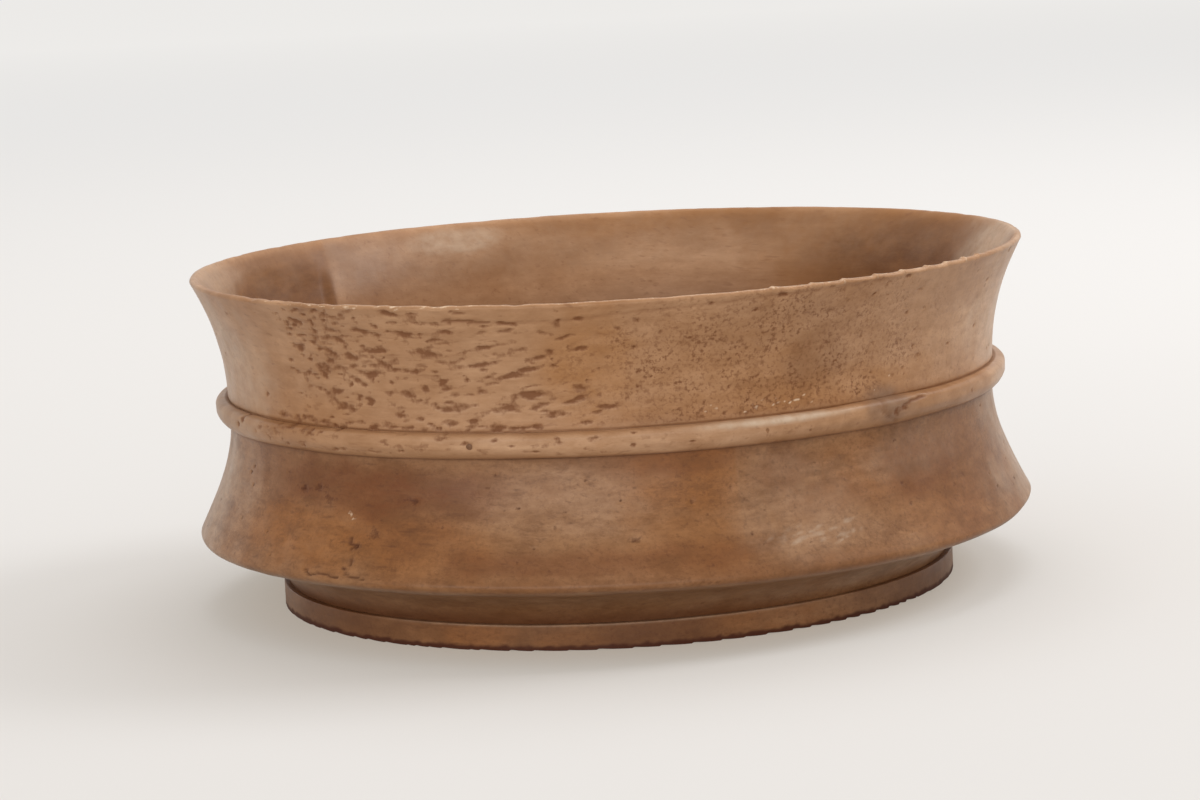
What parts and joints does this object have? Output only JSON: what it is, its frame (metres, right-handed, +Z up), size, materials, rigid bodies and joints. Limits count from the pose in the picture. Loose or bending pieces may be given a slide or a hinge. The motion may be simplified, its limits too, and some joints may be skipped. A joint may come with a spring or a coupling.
{
  "type": "bowl",
  "caption": "Round carved wooden bowl with a flared upper wall, a waist bead, a splayed lower wall, a pegged lap joint, a let-in floor and a low foot ring.",
  "frame": {"origin": "centre of the foot ring's underside, where the bowl stands on the table", "axes": "+Z up along the bowl's axis; -Y is the front, the side that the picture shows; +X to the right"},
  "size_m": [0.1516, 0.1516, 0.0604],
  "materials": {
    "upper_wood": "hand carved, open pores, waxed and worn",
    "lower_wood": "hand carved, smooth, stained and worn",
    "foot_wood": "hand carved, dark, worn at the edges",
    "floor_wood": "hand carved, smooth, stained",
    "peg_wood": "end grain, dark"
  },
  "bodies": {
    "root": {"upper_wall": "upper_wood", "lower_wall": "lower_wood", "floor": "floor_wood", "foot_ring": "foot_wood", "waist_peg_1": "peg_wood", "waist_peg_2": "peg_wood", "waist_peg_3": "peg_wood", "waist_peg_4": "peg_wood", "waist_peg_5": "peg_wood", "waist_peg_6": "peg_wood", "waist_peg_7": "peg_wood", "waist_peg_8": "peg_wood", "waist_peg_9": "peg_wood", "foot_peg_1": "peg_wood", "foot_peg_2": "peg_wood", "foot_peg_3": "peg_wood", "foot_peg_4": "peg_wood", "foot_peg_5": "peg_wood", "foot_peg_6": "peg_wood"}
  },
  "joints": []
}
